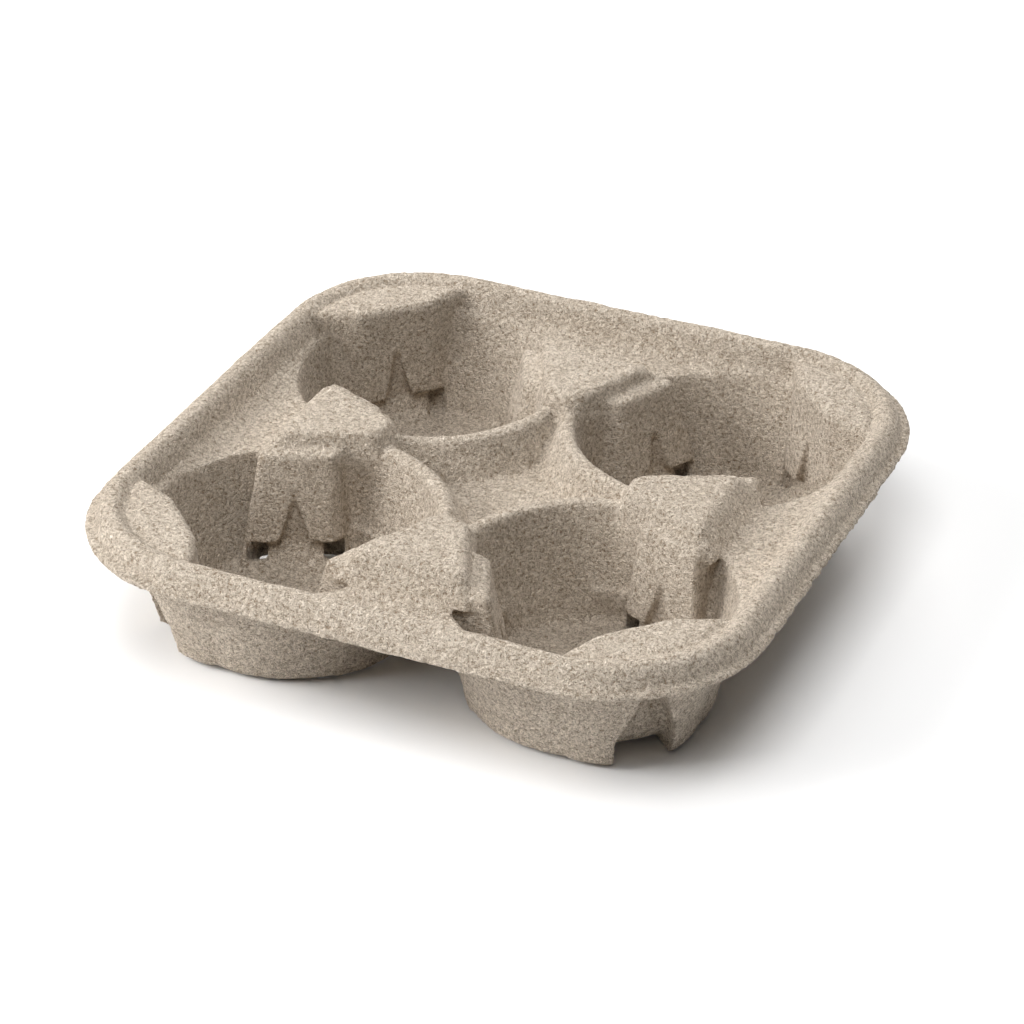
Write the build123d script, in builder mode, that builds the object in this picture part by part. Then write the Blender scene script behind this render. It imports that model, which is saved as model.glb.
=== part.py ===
from build123d import *
from math import atan, atan2, degrees, hypot, radians, sqrt, tan
import os

# Outside of the tray, in millimetres; it is centred on the origin and stands on its feet at height zero
length = 216.0
height = 46.0
corner_radius = 50.5
wall = 2.4

# Rim: a hollow rounded bead with a narrow flat lip outside it
lip_drop = 8.5
lip_thickness = 2.1
bead_inset = 8.0
bead_radius = 4.3
bead_outer_slope_share = 0.32
bead_inner_slope_share = 0.36

# Pan between the cups: level side ledges with a sloped margin against the bead
ledge_drop = 10.0
ledge_reach = 26.0
margin_width = 3.2
margin_rise = 1.6

# Cup wells, the feet under them and the ridges between them
well_to_bead = 8.0
well_gap = 12.0
well_taper = 7.8
floor_thickness = 2.6
foot_edge = 2.2
ridge_drop = 6.3
ridge_width = 4.1
ridge_edge = 1.1
ridge_end_gap = 5.0

# Star-shaped hollow in the middle of the tray
star_drop = 18.5
star_end_gap = 9.0
star_slope_share = 0.58

# Pylons between neighbouring wells; each narrows towards the tray's middle
# Places along a pylon are measured from the axis of the well next to it, overhangs from that well's rim
pylon_flare_share = 0.45
pylon_drop = 1.0
pylon_near = -8.0
pylon_far = 21.0
pylon_overhang = 3.0
pylon_near_spread = 4.0
pylon_far_spread = 7.0
pylon_side_spread = 2.9
pylon_corner = 2.4
pylon_edge = 1.3
root_bottom = 11.0

# Stepped lower half of each pylon, which carries the flaps
step_drop = 5.5
step_near = 1.0
step_far = 24.0
step_overhang = 10.2
step_near_spread = 3.5
step_far_spread = 4.0
step_side_spread = 8.8
step_corner = 1.9
step_edge = 1.1

# Corner shelves: a flat panel over each well, with a wing on either side that turns back to the bead
shelf_drop = 1.5
shelf_overhang = 9.3
shelf_lean = 3.5
shelf_panel_width = 26.0
shelf_wing_angle = 23.0
shelf_wing_reach = 30.0
shelf_inset = 3.4
shelf_groove = 2.2
shelf_edge = 1.4

# Flaps: a slot above each well's floor with a notch rising from its middle
slot_height = 9.0
slot_length = 30.0
notch_width = 9.0
notch_top_gap = 12.4
corner_slot_length = 33.0
corner_notch_top_gap = 14.4
flap_place = 11.0
flap_cut_depth = 6.5

# Tongues: the floor's edge turned up behind each slot, narrowing to the top of the notch
tongue_run = 6.0
tongue_sill_rise = 2.8
tongue_recess = 3.2
tongue_bend_rise = 8.0
tongue_width = 18.0
tongue_tip_width = 5.0
tongue_tip_recess = 1.0

# Lobes: the foot's wall bulged outwards behind the two ends of a corner slot
lobe_offset = 15.6
lobe_radius = 24.0
lobe_height = 29.0
lobe_root = 1.9

# Overrun of cutting shapes past what they cut
overrun = 2.0

# Places worked out from the sizes above
half = length / 2
diagonal_angle = 45.0
corner_centre = half - corner_radius
lip_underside = height - lip_drop
bead_line = half - bead_inset
bead_centre_height = height - bead_radius
ledge_height = height - ledge_drop
pan_half = bead_line - ledge_reach
ridge_height = height - ridge_drop
star_floor = height - star_drop
pylon_height = height - pylon_drop
step_height = height - step_drop
shelf_height = height - shelf_drop
well_rim_radius = (bead_line - well_to_bead - well_gap / 2) / 2
well_offset = well_rim_radius + well_gap / 2
well_floor_radius = well_rim_radius - well_taper
well_slope = well_taper / (ledge_height - floor_thickness)
pylon_gap = well_rim_radius - pylon_overhang
step_gap = well_rim_radius - step_overhang
step_slope = step_side_spread / (step_height + overrun)
shelf_gap = well_rim_radius - shelf_overhang
shelf_slope = shelf_lean / shelf_height
slot_top = floor_thickness + slot_height
corner_gap = shelf_gap - (shelf_height - slot_top) * shelf_slope
notch_top = step_height - notch_top_gap
corner_notch_top = shelf_height - corner_notch_top_gap


def rim_section(skin):
    """Half section of rim and side ledge; a skin draws the hollow underneath instead of the upper face."""
    radius = bead_radius - skin
    inner_x = bead_line - radius / hypot(1, bead_inner_slope_share)
    inner_z = bead_centre_height + (bead_line - inner_x) * bead_inner_slope_share
    outer_x = bead_line + radius / hypot(1, bead_outer_slope_share)
    outer_z = bead_centre_height + (outer_x - bead_line) * bead_outer_slope_share
    crest_z = bead_centre_height + radius
    base_z = lip_underside if skin else lip_underside + lip_thickness
    base_x = outer_x + (outer_z - base_z) * bead_outer_slope_share
    ledge_z = ledge_height - skin
    margin_z = ledge_z + margin_rise
    margin_x = inner_x - (inner_z - margin_z) * bead_inner_slope_share
    start_x = pan_half - overrun
    edge_x = half + skin
    low_z = -overrun - skin
    with BuildSketch(Plane.XZ) as section:
        with BuildLine():
            if skin:
                Polyline(
                    (start_x, low_z),
                    (start_x, ledge_z),
                    (inner_x - (inner_z - ledge_z) * bead_inner_slope_share, ledge_z),
                    (inner_x + (crest_z - inner_z) * bead_inner_slope_share, crest_z),
                    (outer_x - (crest_z - outer_z) * bead_outer_slope_share, crest_z),
                    (outer_x, outer_z),
                )
            else:
                Polyline(
                    (start_x, low_z),
                    (start_x, ledge_z),
                    (margin_x - margin_width, ledge_z),
                    (margin_x, margin_z),
                    (inner_x, inner_z),
                )
                ThreePointArc((inner_x, inner_z), (bead_line, crest_z), (outer_x, outer_z))
            Polyline(
                (outer_x, outer_z),
                (base_x, base_z),
                (edge_x, base_z),
                (edge_x, low_z),
                (start_x, low_z),
            )
        make_face()
    return section.sketch


def rim_quarter(skin):
    """A quarter of the rim, swept from the middle of one side round the corner to the next side."""
    section = rim_section(skin)
    far = corner_centre + (bead_line - corner_centre) / sqrt(2)
    with BuildPart() as quarter:
        with BuildLine() as path:
            Line((bead_line, 0), (bead_line, corner_centre))
            ThreePointArc((bead_line, corner_centre), (far, far), (corner_centre, bead_line))
            Line((corner_centre, bead_line), (0, bead_line))
        sweep(sections=section, path=path.wire())
    return quarter.part


def well(skin):
    """Tapered space of one cup well, or the outside of its foot when a skin is given."""
    low_z = 0 if skin else floor_thickness
    high_z = height + overrun
    floor_radius = well_floor_radius + skin * hypot(1, well_slope)
    with BuildPart(Plane.XY.offset(low_z)) as cup:
        Cone(
            floor_radius + (low_z - floor_thickness) * well_slope,
            floor_radius + (high_z - floor_thickness) * well_slope,
            high_z - low_z,
            align=(Align.CENTER, Align.CENTER, Align.MIN),
        )
        if skin:
            chamfer(cup.edges().group_by(Axis.Z)[0], length=foot_edge)
    return cup.part


def star(skin):
    """Space of the middle hollow: what four cones that widen downwards leave between them."""
    low_z = star_floor - skin
    high_z = ridge_height + overrun
    crest_radius = well_floor_radius + (ridge_height - floor_thickness) * well_slope + ridge_width
    wall_radius = crest_radius - skin * hypot(1, star_slope_share)
    reach = well_offset - star_end_gap
    with BuildPart() as hollow:
        with BuildSketch(Plane.XY.offset(low_z)):
            Rectangle(2 * reach, 2 * reach)
        extrude(amount=high_z - low_z)
        with Locations((0, 0, low_z)):
            with PolarLocations(well_offset * sqrt(2), 4, start_angle=diagonal_angle):
                Cone(
                    wall_radius + (ridge_height - low_z) * star_slope_share,
                    wall_radius + (ridge_height - high_z) * star_slope_share,
                    high_z - low_z,
                    align=(Align.CENTER, Align.CENTER, Align.MIN),
                    mode=Mode.SUBTRACT,
                )
    return hollow.part


def ridges():
    """Raised ridges that part the wells from each other and from the middle hollow."""
    reach = well_offset - ridge_end_gap
    cup = well(0)
    hollow = star(0)
    with BuildPart() as block:
        with BuildSketch(Plane.XY.offset(ledge_height)):
            Rectangle(2 * reach, 2 * reach)
        extrude(amount=ridge_height - ledge_height)
        with PolarLocations(well_offset * sqrt(2), 4, start_angle=diagonal_angle):
            add(cup, mode=Mode.SUBTRACT)
        add(hollow, mode=Mode.SUBTRACT)
        crests = block.edges().group_by(Axis.Z)[-1].filter_by(GeomType.CIRCLE)
        chamfer(crests, length=ridge_edge)
    return block.part


def post_plan(level, near, far, gap, skin):
    """Plan of a pylon at one level: four straight sides, narrow end towards the tray's middle."""
    near_place = near + skin
    far_place = far - skin
    inset = gap + skin * hypot(1, pylon_flare_share)
    near_half = well_offset - inset + near_place * pylon_flare_share
    far_half = well_offset - inset + far_place * pylon_flare_share
    with BuildSketch(Plane.XY.offset(level - skin)) as plan:
        Polygon(
            (well_offset + near_place, near_half),
            (well_offset + near_place, -near_half),
            (well_offset + far_place, -far_half),
            (well_offset + far_place, far_half),
            align=None,
        )
    return plan.sketch


def post(plan, level, depth, near_spread, far_spread, side_spread, corner, edge, skin):
    """Post under a plan, spreading downwards by a different amount at each end and at its two sides."""
    crown = Plane.XY.offset(level - skin)
    across_spread = side_spread / hypot(1, pylon_flare_share)
    with BuildPart() as body:
        extrude(plan, amount=depth, dir=(0, 0, -1))
        draft(body.faces().sort_by(Axis.X)[0], crown, degrees(atan2(near_spread, depth)))
        sides = body.faces().sort_by(Axis.Y)
        draft([sides[0], sides[-1]], crown, degrees(atan2(across_spread, depth)))
        draft(body.faces().sort_by(Axis.X)[-1], crown, degrees(atan2(far_spread, depth)))
        if not skin:
            rims = body.edges().group_by(Axis.Z)
            chamfer(body.edges() - rims[0] - rims[-1], length=corner)
            chamfer(body.edges().group_by(Axis.Z)[-1], length=edge)
    return body.part


def pylon(skin):
    """Upper half, stepped lower half, and the straight root that dies into the walls of both wells."""
    upper_plan = post_plan(pylon_height, pylon_near, pylon_far, pylon_gap, skin)
    upper = post(
        upper_plan,
        pylon_height,
        pylon_height - ledge_height,
        pylon_near_spread,
        pylon_far_spread,
        pylon_side_spread,
        pylon_corner,
        pylon_edge,
        skin,
    )
    step_plan = post_plan(step_height, step_near, step_far, step_gap, skin)
    lower = post(
        step_plan,
        step_height,
        step_height + overrun,
        step_near_spread,
        step_far_spread,
        step_side_spread,
        step_corner,
        step_edge,
        skin,
    )
    root_near = pylon_near - pylon_near_spread
    root_far = pylon_far + pylon_far_spread - pylon_corner
    root_gap = pylon_gap - pylon_side_spread
    root_plan = post_plan(ledge_height, root_near, root_far, root_gap, skin)
    with BuildPart() as body:
        add(upper)
        add(lower)
        extrude(root_plan, amount=ledge_height - root_bottom, dir=(0, 0, -1))
    return body.part


def shelf_front(skin):
    """The leaning panel and wings that a corner shelf turns to its well, with all the space behind them."""
    low_z = -overrun - skin
    top_z = shelf_height - skin
    panel_gap = shelf_gap - (shelf_height - low_z) * shelf_slope
    panel_half = shelf_panel_width / 2
    wing_half = panel_half + shelf_wing_reach
    wing_gap = panel_gap + shelf_wing_reach * tan(radians(shelf_wing_angle))
    back_gap = wing_gap + shelf_wing_reach
    with BuildPart() as front:
        with BuildSketch(Plane.XY.offset(low_z)):
            with Locations(Location((well_offset, well_offset, 0), (0, 0, diagonal_angle))):
                Polygon(
                    (panel_gap, panel_half),
                    (panel_gap, -panel_half),
                    (wing_gap, -wing_half),
                    (back_gap, -wing_half),
                    (back_gap, wing_half),
                    (wing_gap, wing_half),
                    align=None,
                )
            if skin:
                offset(amount=-skin, kind=Kind.INTERSECTION)
        extrude(amount=top_z - low_z, taper=degrees(atan(shelf_slope)))
        if not skin:
            chamfer(front.edges().group_by(Axis.Z)[-1], length=shelf_edge)
    return front.part


def shelf(skin):
    """Corner shelf: the corner inside the bead, cut off by the panel and wings that lean into the well."""
    low_z = -overrun - skin
    top_z = shelf_height - skin
    reach = bead_line if skin else bead_line - shelf_inset
    front = shelf_front(skin)
    with BuildPart() as block:
        with BuildSketch(Plane.XY.offset(low_z)):
            RectangleRounded(2 * reach, 2 * reach, reach - corner_centre)
        extrude(amount=top_z - low_z)
        if not skin:
            chamfer(block.edges().group_by(Axis.Z)[-1], length=shelf_groove)
        add(front, mode=Mode.INTERSECT)
    return block.part


def tray_form(skin):
    """Everything below the tray's upper face, or below its underside when a skin is given."""
    low_z = -overrun - skin
    quarter = rim_quarter(skin)
    cup = well(skin)
    hollow = star(skin)
    post_body = pylon(skin)
    corner = shelf(skin)
    between = [] if skin else [ridges()]
    with BuildPart() as form:
        with PolarLocations(0, 4):
            add(quarter)
        with BuildSketch(Plane.XY.offset(low_z)):
            Rectangle(2 * pan_half, 2 * pan_half)
        extrude(amount=ledge_height - skin - low_z)
        with PolarLocations(well_offset * sqrt(2), 4, start_angle=diagonal_angle):
            add(cup, mode=Mode.SUBTRACT)
        add(hollow, mode=Mode.SUBTRACT)
        add(between)
        with PolarLocations(0, 4):
            add(post_body)
            add(corner)
    return form.part


def flap_opening(slot, base, notch_peak):
    """Slot and a notch above it, in a wall along X with its well at minus Y; the base goes through the floor."""
    tongue_skin = wall / sqrt(2)
    front_place = tongue_skin - tongue_run
    with BuildPart() as opening:
        with BuildSketch(Plane.XZ.offset(-front_place)):
            with BuildLine():
                Polyline(
                    (-slot / 2, floor_thickness),
                    (-base / 2, floor_thickness),
                    (-base / 2, -overrun),
                    (base / 2, -overrun),
                    (base / 2, floor_thickness),
                    (slot / 2, floor_thickness),
                    (slot / 2, slot_top),
                    (notch_width / 2, slot_top),
                    (0, notch_peak),
                    (-notch_width / 2, slot_top),
                    (-slot / 2, slot_top),
                    close=True,
                )
            make_face()
        extrude(amount=front_place - flap_cut_depth)
    return opening.part


def lobe_form(skin):
    """Leaning round form of the lobes behind a corner slot; a skin gives its outside and an open valley."""
    low_z = 0 if skin else floor_thickness
    high_z = lobe_height if skin else lobe_height + overrun
    radius = lobe_radius + skin * hypot(1, well_slope)
    reach = 2 * lobe_radius
    grow = 0 if skin else wall
    low_half = tongue_width / 2 + grow
    tip_half = tongue_tip_width / 2 + grow
    with BuildPart() as form:
        with Locations((0, lobe_offset - corner_gap, low_z)):
            Cone(
                radius + (low_z - floor_thickness) * well_slope,
                radius + (high_z - floor_thickness) * well_slope,
                high_z - low_z,
                align=(Align.CENTER, Align.CENTER, Align.MIN),
            )
        if skin:
            chamfer(form.edges().group_by(Axis.Z)[0], length=foot_edge)
        with Locations((0, lobe_root / 2, -overrun)):
            Box(2 * reach, reach, reach, align=(Align.CENTER, Align.MIN, Align.MIN), mode=Mode.INTERSECT)
        with BuildSketch(Plane.XZ):
            Polygon(
                (-low_half, -overrun),
                (low_half, -overrun),
                (low_half, slot_top),
                (tip_half, corner_notch_top),
                (-tip_half, corner_notch_top),
                (-low_half, slot_top),
                align=None,
            )
        extrude(amount=reach, both=True, mode=Mode.SUBTRACT)
    return form.part


def lobes():
    """Pair of hollow lobes whose floors carry on the floor of the well, with a valley between them."""
    outside = lobe_form(wall)
    space = lobe_form(0)
    room = 2 * corner_slot_length
    with BuildPart() as pair:
        add(outside)
        add(space, mode=Mode.SUBTRACT)
        with Locations((0, lobe_root, floor_thickness)):
            Box(corner_slot_length, room, room, align=(Align.CENTER, Align.MAX, Align.MIN), mode=Mode.SUBTRACT)
    return pair.part


def tongue(base, notch_peak, slope):
    """Floor's edge ramped up behind a slot; its middle goes on to the peak of the notch behind the wall."""
    skin = wall / sqrt(2)
    sill = floor_thickness + tongue_sill_rise
    bend = floor_thickness + tongue_bend_rise
    tip_place = (notch_peak - slot_top) * slope + tongue_tip_recess
    tip = notch_peak + wall
    with BuildPart() as blade:
        with BuildSketch(Plane.YZ):
            Polygon(
                (-tongue_run - skin, floor_thickness),
                (-tongue_run, floor_thickness),
                (0, sill),
                (tongue_recess, bend),
                (tip_place, tip),
                (tip_place + skin, tip),
                (tongue_recess + skin, bend - skin),
                (skin, sill - skin),
                (skin - tongue_run, floor_thickness - skin),
                (-tongue_run, 0),
                (-tongue_run - skin, 0),
                align=None,
            )
        extrude(amount=base / 2, both=True)
        with BuildSketch(Plane.XZ):
            Polygon(
                (-base / 2 - wall, -overrun),
                (base / 2 + wall, -overrun),
                (base / 2 + wall, sill),
                (tongue_width / 2, sill),
                (tongue_width / 2, slot_top),
                (tongue_tip_width / 2, tip + overrun),
                (-tongue_tip_width / 2, tip + overrun),
                (-tongue_width / 2, slot_top),
                (-tongue_width / 2, sill),
                (-base / 2 - wall, sill),
                align=None,
            )
        extrude(amount=2 * tongue_run + flap_cut_depth, both=True, mode=Mode.INTERSECT)
    return blade.part


upper_form = tray_form(0)
under_form = tray_form(wall)
pylon_flap = flap_opening(slot_length, slot_length - wall, notch_top)
corner_flap = flap_opening(corner_slot_length, tongue_width, corner_notch_top)
pylon_tongue = tongue(slot_length, notch_top, step_slope)
corner_tongue = tongue(tongue_width + wall, corner_notch_top, shelf_slope)
corner_lobes = lobes()

# Where the flaps sit: on the leaning walls of pylons and shelves, turned so that the well is in front
flap_turn = degrees(atan(pylon_flare_share))
flap_lean = (step_height - slot_top) * step_slope
flap_across = well_offset - step_gap + flap_lean + flap_place * pylon_flare_share
flap_along = well_offset + flap_place
corner_place = well_offset + corner_gap / sqrt(2)
half_turn = 180.0
pylon_places = [
    Location((flap_along, flap_across, 0), (0, 0, half_turn + flap_turn)),
    Location((flap_along, -flap_across, 0), (0, 0, -flap_turn)),
]
corner_spot = Location((corner_place, corner_place, 0), (0, 0, -diagonal_angle))

with BuildPart() as tray:
    add(upper_form)
    add(under_form, mode=Mode.SUBTRACT)
    with PolarLocations(0, 4):
        with Locations(pylon_places):
            add(pylon_flap, mode=Mode.SUBTRACT)
        with Locations(corner_spot):
            add(corner_flap, mode=Mode.SUBTRACT)
    with PolarLocations(0, 4):
        with Locations(pylon_places):
            add(pylon_tongue)
        with Locations(corner_spot):
            add(corner_lobes)
            add(corner_tongue)

tray.part.label = "tray"
os.makedirs("parts", exist_ok=True)
export_step(tray.part, "parts/tray.step")
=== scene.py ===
"""A moulded pulp carrier for four cups, standing on a white floor."""

import math

import bmesh
import bpy
from mathutils import Matrix, Vector, noise


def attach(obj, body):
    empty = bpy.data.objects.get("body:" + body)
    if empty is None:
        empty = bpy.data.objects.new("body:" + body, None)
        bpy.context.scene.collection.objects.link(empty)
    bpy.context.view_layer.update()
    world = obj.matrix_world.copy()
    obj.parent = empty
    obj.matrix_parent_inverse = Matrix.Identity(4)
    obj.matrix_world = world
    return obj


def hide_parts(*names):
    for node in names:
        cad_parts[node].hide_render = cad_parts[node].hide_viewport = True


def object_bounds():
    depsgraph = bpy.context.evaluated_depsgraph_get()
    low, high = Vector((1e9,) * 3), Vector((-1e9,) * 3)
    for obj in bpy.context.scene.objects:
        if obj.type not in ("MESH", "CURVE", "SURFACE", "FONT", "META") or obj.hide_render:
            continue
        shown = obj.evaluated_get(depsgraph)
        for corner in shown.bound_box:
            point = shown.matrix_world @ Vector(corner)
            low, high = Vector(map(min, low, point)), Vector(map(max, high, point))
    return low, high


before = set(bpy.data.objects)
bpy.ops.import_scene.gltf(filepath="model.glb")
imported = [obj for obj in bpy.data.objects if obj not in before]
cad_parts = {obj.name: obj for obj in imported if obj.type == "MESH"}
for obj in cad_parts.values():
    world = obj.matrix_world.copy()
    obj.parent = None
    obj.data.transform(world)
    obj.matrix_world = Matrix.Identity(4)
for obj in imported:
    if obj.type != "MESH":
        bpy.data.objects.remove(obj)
cad_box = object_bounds()
scene = bpy.context.scene


# Tray shell
# One shell of grey-brown paper pulp, drawn onto a wire-mesh mould and dried.
# The mould leaves soft roundings, and the free edges are ragged where the pulp thins out.

VOXEL = 0.0007
ALL_ROUNDS = 3
RAISED_ROUNDS = 5
RAISED_FROM = 0.026
RAISED_FADE = 0.004
RIM_KEPT = 0.015
RIM_FADED = 0.019
MOST_TRIANGLES = 196000
SWELL_HEIGHT = 0.00035
RIPPLE_HEIGHT = 0.00022
CREASE_DEPTH = 0.0004
CREASE_START = Vector((3.1, 0.7, 5.3))
EDGE_BAND = 0.0016
RAGGED_DEPTH = 0.0009
WELL_OFFSET = 0.049

# Behind each slot the foot's round wall goes on as short flats, placed by their angles in
# degrees from the line to the next well, where positive is towards the rim.
SLOT_BACK_ANGLES = (-18.0, -11.0, -4.0, 3.0, 10.0, 17.0, 26.0, 33.0, 40.0)
SLOT_BACK_RADIUS = 0.0366
SLOT_BACK_WIDTH = 0.0054
SLOT_BACK_WALL = 0.0021
SLOT_BACK_TOP = 0.0125
SLOT_BACK_LIFT = 0.001

half_side = cad_box[1][0]


def finished_mesh(worker):
    """The mesh of an object as its modifiers leave it."""
    bpy.context.view_layer.update()
    graph = bpy.context.evaluated_depsgraph_get()
    return bpy.data.meshes.new_from_object(worker.evaluated_get(graph), depsgraph=graph)


def rise(value, low, high):
    """From 0 to 1 as the value goes from low to high, and level outside them."""
    return min(max((value - low) / (high - low), 0.0), 1.0)


def soften(worker, rounds, group=""):
    """Melts the sharp edges of an object, in a vertex group or all over."""
    softener = worker.modifiers.new("soften", "SMOOTH")
    softener.factor = 0.5
    softener.iterations = rounds
    softener.vertex_group = group


def add_slot_back(shell, well, toward, across, angle):
    """One short flat of the foot's wall, from the well's centre at this angle off the line."""
    outward = toward * math.cos(angle) + across * math.sin(angle)
    along = across * math.cos(angle) - toward * math.sin(angle)
    middle = well + outward * SLOT_BACK_RADIUS
    middle.z = SLOT_BACK_TOP / 2.0 + SLOT_BACK_LIFT
    flat = Matrix((
        outward * SLOT_BACK_WALL, along * SLOT_BACK_WIDTH,
        Vector((0.0, 0.0, SLOT_BACK_TOP)))).transposed().to_4x4()
    flat.translation = middle
    bmesh.ops.create_cube(shell, size=1.0, matrix=flat)


def close_slot_ends(shell):
    """Carries the foot's round wall on behind both ends of each slot between two wells."""
    for well_x in (-WELL_OFFSET, WELL_OFFSET):
        for well_y in (-WELL_OFFSET, WELL_OFFSET):
            well = Vector((well_x, well_y, 0.0))
            for quarter in range(4):
                toward = Matrix.Rotation(quarter * math.pi / 2.0, 3, "Z") @ Vector((1.0, 0.0, 0.0))
                if toward.dot(well) > 0.0:
                    continue
                across = Vector((-toward.y, toward.x, 0.0))
                if across.dot(well) < 0.0:
                    across = -across
                for degrees in SLOT_BACK_ANGLES:
                    add_slot_back(shell, well, toward, across, math.radians(degrees))


def pulp_mesh():
    """The tray's solid with its faces joined up and its sharp edges melted, most on the raised parts."""
    source = bpy.data.objects["tray"]
    mesh = source.data.copy()
    mesh.transform(source.matrix_world)
    shell = bmesh.new()
    shell.from_mesh(mesh)
    bmesh.ops.remove_doubles(shell, verts=shell.verts, dist=1e-6)
    close_slot_ends(shell)
    bmesh.ops.recalc_face_normals(shell, faces=shell.faces)
    shell.to_mesh(mesh)
    shell.free()
    rough = bpy.data.objects.new("rough_shell", mesh)
    scene.collection.objects.link(rough)
    remesh = rough.modifiers.new("voxels", "REMESH")
    remesh.mode = "VOXEL"
    remesh.voxel_size = VOXEL
    worker = bpy.data.objects.new("shell_worker", finished_mesh(rough))
    scene.collection.objects.link(worker)
    raised = worker.vertex_groups.new(name="raised")
    for corner in worker.data.vertices:
        side = half_side - max(abs(corner.co.x), abs(corner.co.y))
        height_share = rise(corner.co.z, RAISED_FROM - RAISED_FADE, RAISED_FROM)
        share = height_share * rise(side, RIM_KEPT, RIM_FADED)
        if share > 0.0:
            raised.add([corner.index], share, "REPLACE")
    soften(worker, ALL_ROUNDS)
    soften(worker, RAISED_ROUNDS, "raised")
    done = finished_mesh(worker)
    bpy.data.objects.remove(rough)
    bpy.data.objects.remove(worker)
    return done


def fit_to_box(mesh, box):
    """Stretches a mesh by the little that softening took off it, so that it fills the box again."""
    low, high = box
    spots = [corner.co for corner in mesh.vertices]
    for axis in range(3):
        least = min(spot[axis] for spot in spots)
        most = max(spot[axis] for spot in spots)
        stretch = (high[axis] - low[axis]) / (most - least)
        for corner in mesh.vertices:
            moved = low[axis] + (corner.co[axis] - least) * stretch
            corner.co[axis] = min(max(moved, low[axis]), high[axis])


def roughen(mesh):
    """Gives the surface its swells and creases, and tears the outer edge inwards here and there."""
    surface = bmesh.new()
    surface.from_mesh(mesh)
    surface.normal_update()
    for corner in surface.verts:
        place = corner.co.copy()
        swell = noise.noise(place * 42.0) * SWELL_HEIGHT + noise.noise(place * 150.0) * RIPPLE_HEIGHT
        crease = abs(noise.noise(place * 380.0 + CREASE_START)) * -CREASE_DEPTH
        corner.co = place + corner.normal * (swell + crease)
        rim = max(abs(place.x), abs(place.y))
        near = rise(rim, half_side - EDGE_BAND, half_side)
        if near > 0.0:
            torn = 0.5 + noise.noise(place * 260.0) * 0.9 + noise.noise(place * 900.0) * 0.6
            inward = Vector((-place.x, -place.y, 0.0)).normalized()
            corner.co += inward * (RAGGED_DEPTH * near * rise(torn, 0.0, 1.0))
    surface.to_mesh(mesh)
    surface.free()


shell_mesh = pulp_mesh()
fit_to_box(shell_mesh, cad_box)
roughen(shell_mesh)

tray = bpy.data.objects.new("pulp_tray", shell_mesh)
scene.collection.objects.link(tray)
thin = tray.modifiers.new("thin", "DECIMATE")
quad_triangles = 2.0 * len(shell_mesh.polygons)
thin.ratio = min(1.0, MOST_TRIANGLES / quad_triangles)
thinned = finished_mesh(tray)
tray.modifiers.clear()
tray.data = thinned
fit_to_box(thinned, cad_box)
thinned.polygons.foreach_set("use_smooth", [True] * len(thinned.polygons))
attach(tray, "root")
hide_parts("tray")


# Pulp finish
# Unprinted pulp: short curled fibres pressed together, matte, with dark specks and paler hairs. Its
# colour also follows the bump relief, with painted shade in the pits and painted light on the crests
# over the pulp's own mottled tone.

# The pit and crest colours are the two ends of the pulp's tone: the pit colour is partly painted shade,
# the crest colour partly painted light.
PIT_TONE_AND_SHADE_COLOUR = (0.33, 0.245, 0.165, 1.0)
CREST_TONE_AND_LIGHT_COLOUR = (0.94, 0.825, 0.69, 1.0)
SPECK_COLOUR = (0.17, 0.12, 0.08, 1.0)
HAIR_COLOUR = (0.85, 0.78, 0.69, 1.0)
CLOUD_SCALE = 24.0
GRAIN_SCALE = 820.0
FINE_SCALE = 2600.0
FIBRE_SCALE = 1100.0
HAIR_SCALE = 700.0
RELIEF_HEIGHT = 0.002


class Wire:
    """A socket that can be added, subtracted and multiplied like a number."""

    def __init__(self, tree, socket):
        self.tree = tree
        self.socket = socket

    def maths(self, operation, *others):
        """This value put through a Math node, with the others as its further inputs."""
        node = self.tree.nodes.new("ShaderNodeMath")
        node.operation = operation
        for place, other in zip(node.inputs, (self, *others)):
            join(self.tree, place, other)
        return Wire(self.tree, node.outputs[0])

    def __add__(self, other):
        return self.maths("ADD", other)

    __radd__ = __add__

    def __mul__(self, other):
        return self.maths("MULTIPLY", other)

    __rmul__ = __mul__

    def __sub__(self, other):
        return self.maths("SUBTRACT", other)

    def __rsub__(self, other):
        return (self * -1.0) + other

    def ramp(self, low, high, start=0.0, end=1.0):
        """From start to end as the value goes from low to high, and level outside them."""
        spread = make(self.tree, "ShaderNodeMapRange", {"clamp": True}, {
            "Value": self, "From Min": low, "From Max": high, "To Min": start, "To Max": end})
        return Wire(self.tree, spread.outputs["Result"])


def join(tree, place, value):
    """Links a socket, or sets a plain value on it."""
    if isinstance(value, Wire):
        tree.links.new(value.socket, place)
    elif isinstance(value, bpy.types.NodeSocket):
        tree.links.new(value, place)
    else:
        place.default_value = value


def make(tree, kind, settings=None, sockets=None):
    """A new node of this type: its settings first, then its socket values or links."""
    node = tree.nodes.new(kind)
    for name, value in (settings or {}).items():
        setattr(node, name, value)
    for name, value in (sockets or {}).items():
        join(tree, node.inputs[name], value)
    return node


pulp = bpy.data.materials.new("pulp")
pulp.use_nodes = True
pulp_tree = pulp.node_tree
pulp_tree.nodes.clear()
tray_place = make(pulp_tree, "ShaderNodeTexCoord").outputs["Object"]


def noise_at(scale, detail, rough=0.5, twist=0.0, where=tray_place):
    """Soft cloudy noise over the object, from 0 to 1."""
    node = make(pulp_tree, "ShaderNodeTexNoise", None, {
        "Vector": where, "Scale": scale, "Detail": detail, "Roughness": rough, "Distortion": twist})
    return Wire(pulp_tree, node.outputs["Fac"])


def drawn_out(stretch, turned):
    """Object coordinates turned and stretched, so that a pattern on them runs in streaks."""
    return make(pulp_tree, "ShaderNodeMapping", None, {
        "Vector": tray_place, "Rotation": turned, "Scale": stretch}).outputs["Vector"]


def mixed(share, first, second):
    """One colour turning into another as the share goes from 0 to 1."""
    return make(pulp_tree, "ShaderNodeMix", {"data_type": "RGBA"}, {
        "Factor": share, "A": first, "B": second}).outputs["Result"]


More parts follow.
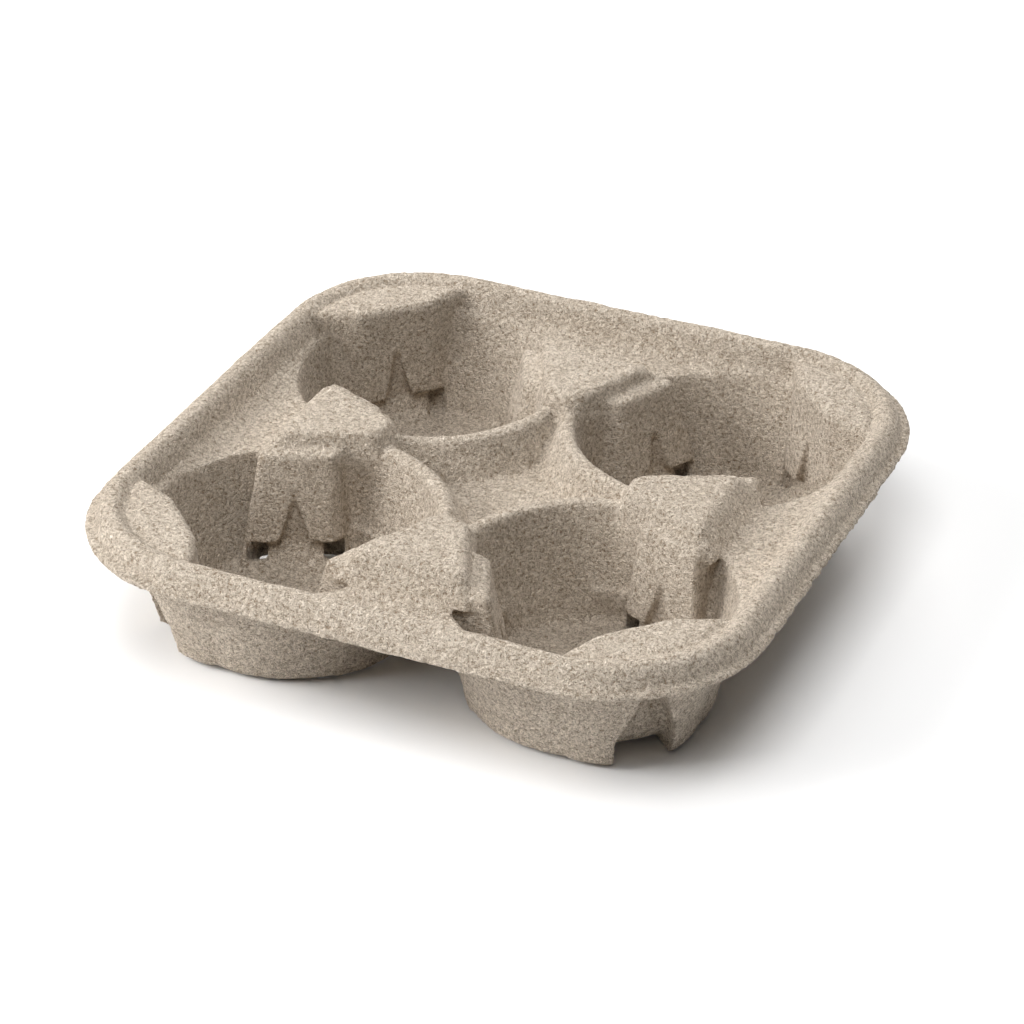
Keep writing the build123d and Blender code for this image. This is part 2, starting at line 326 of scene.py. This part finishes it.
clouds = noise_at(CLOUD_SCALE, 3.0)
grain = noise_at(GRAIN_SCALE, 4.0, 0.62, 0.5)
fine = noise_at(FINE_SCALE, 2.0)
rising = noise_at(FIBRE_SCALE, 2.0, 0.55, 0.8, drawn_out((1.0, 0.45, 1.0), (0.5, 0.3, 0.7)))
falling = noise_at(FIBRE_SCALE, 2.0, 0.55, 0.8, drawn_out((0.45, 1.0, 1.0), (0.3, 0.6, -0.6)))
fibres = ((rising - 0.5).maths("ABSOLUTE").ramp(0.0, 0.1)
          + (falling - 0.5).maths("ABSOLUTE").ramp(0.0, 0.1)) * 0.5
specks = noise_at(GRAIN_SCALE, 1.0).ramp(0.735, 0.775)
hairs = noise_at(HAIR_SCALE, 1.0, 0.5, 3.0).ramp(0.69, 0.73)

# The tone rides on the same grain, fine and fibre noise as the bump relief, so it paints shade into the
# relief's pits and light onto its crests, over random mottling from the clouds.
tone_and_relief_shade = (0.58 + (clouds - 0.5) * 0.24 + (fibres - 0.55) * 0.6 + (grain - 0.5) * 2.3
        + (fine - 0.5) * 1.5).ramp(0.0, 1.0)
paper = mixed(tone_and_relief_shade, PIT_TONE_AND_SHADE_COLOUR, CREST_TONE_AND_LIGHT_COLOUR)
dotted = mixed(specks * 0.6, paper, SPECK_COLOUR)
haired = mixed(hairs * 0.3, dotted, HAIR_COLOUR)

relief = grain * 0.9 + fibres * 0.25 + fine * 0.28
bump = make(pulp_tree, "ShaderNodeBump", None, {
    "Height": relief, "Strength": 1.0, "Distance": RELIEF_HEIGHT})
paper_shader = make(pulp_tree, "ShaderNodeBsdfPrincipled", None, {
    "Base Color": haired, "Normal": bump.outputs["Normal"], "Roughness": 0.92,
    "Specular IOR Level": 0.2})
pulp_out = make(pulp_tree, "ShaderNodeOutputMaterial")
join(pulp_tree, pulp_out.inputs["Surface"], paper_shader.outputs["BSDF"])
thinned.materials.clear()
thinned.materials.append(pulp)


# White floor
# The tray stands on a white surface that runs up into a white background.

FLOOR_REACH = 6.0
FLOOR_COLOUR = (0.95, 0.95, 0.95, 1.0)

floor_mesh = bpy.data.meshes.new("floor")
floor_mesh.from_pydata(
    [(-FLOOR_REACH, -FLOOR_REACH, 0.0), (FLOOR_REACH, -FLOOR_REACH, 0.0),
     (FLOOR_REACH, FLOOR_REACH, 0.0), (-FLOOR_REACH, FLOOR_REACH, 0.0)],
    [], [(0, 1, 2, 3)])
floor = bpy.data.objects.new("floor", floor_mesh)
scene.collection.objects.link(floor)
white = bpy.data.materials.new("white_floor")
white.use_nodes = True
white_shader = white.node_tree.nodes["Principled BSDF"]
white_shader.inputs["Base Color"].default_value = FLOOR_COLOUR
white_shader.inputs["Roughness"].default_value = 0.9
white_shader.inputs["Specular IOR Level"].default_value = 0.0
floor_mesh.materials.append(white)


# Studio light
# A soft light low on the left, one behind, a weak one high in front, and a dim white surround.

LAMP_DISTANCE = 1.6
SURROUND_STRENGTH = 0.06


def direction(azimuth, elevation):
    """The way from the tray to a lamp or camera; azimuth 0 is in front of it, 90 on its right."""
    turn = math.radians(azimuth)
    lift = math.radians(elevation)
    return Vector((math.sin(turn) * math.cos(lift), -math.cos(turn) * math.cos(lift), math.sin(lift)))


def lamp(name, azimuth, elevation, size, power):
    """A square soft lamp that faces the tray."""
    data = bpy.data.lights.new(name, "AREA")
    data.shape = "SQUARE"
    data.size = size
    data.energy = power
    source = bpy.data.objects.new(name, data)
    scene.collection.objects.link(source)
    away = direction(azimuth, elevation)
    source.location = away * LAMP_DISTANCE
    source.rotation_mode = "QUATERNION"
    source.rotation_quaternion = (-away).to_track_quat("-Z", "Y")
    return source


key = lamp("key_light", -60.0, 29.0, 0.9, 28.0)
rear = lamp("rear_light", -176.0, 40.0, 1.3, 22.0)
high_front = lamp("high_light", 12.0, 66.0, 0.9, 15.0)

surround = bpy.data.worlds.new("surround")
scene.world = surround
surround.use_nodes = True
sky_tree = surround.node_tree
sky_tree.nodes.clear()
rays = make(sky_tree, "ShaderNodeLightPath")
seen = Wire(sky_tree, rays.outputs["Is Camera Ray"])
glow = make(sky_tree, "ShaderNodeBackground", None, {
    "Color": (1.0, 1.0, 1.0, 1.0), "Strength": seen.ramp(0.0, 1.0, SURROUND_STRENGTH, 1.0)})
sky_out = make(sky_tree, "ShaderNodeOutputWorld")
join(sky_tree, sky_out.inputs["Surface"], glow.outputs["Background"])


# Camera
# A long lens looks down on the tray from its front right.

LENS = 125.69
CAMERA_AZIMUTH = 23.7984
CAMERA_ELEVATION = 30.7215
CAMERA_TILT = math.radians(0.4527)
CAMERA_DISTANCE = 1.06088
CAMERA_TARGET = Vector((0.01651, -0.03408, 0.046))

camera_data = bpy.data.cameras.new("camera")
camera_data.sensor_width = 36.0
camera_data.lens = LENS
camera_data.clip_start = 0.01
camera_data.clip_end = 50.0
camera = bpy.data.objects.new("camera", camera_data)
scene.collection.objects.link(camera)
back = direction(CAMERA_AZIMUTH, CAMERA_ELEVATION)
sideways = math.radians(CAMERA_AZIMUTH)
level = Vector((math.cos(sideways), math.sin(sideways), 0.0))
upward = back.cross(level)
right = level * math.cos(CAMERA_TILT) + upward * math.sin(CAMERA_TILT)
top = upward * math.cos(CAMERA_TILT) - level * math.sin(CAMERA_TILT)
pose = Matrix((right, top, back)).transposed().to_4x4()
pose.translation = CAMERA_TARGET + back * CAMERA_DISTANCE
camera.matrix_world = pose
scene.camera = camera
scene.view_settings.view_transform = "Standard"
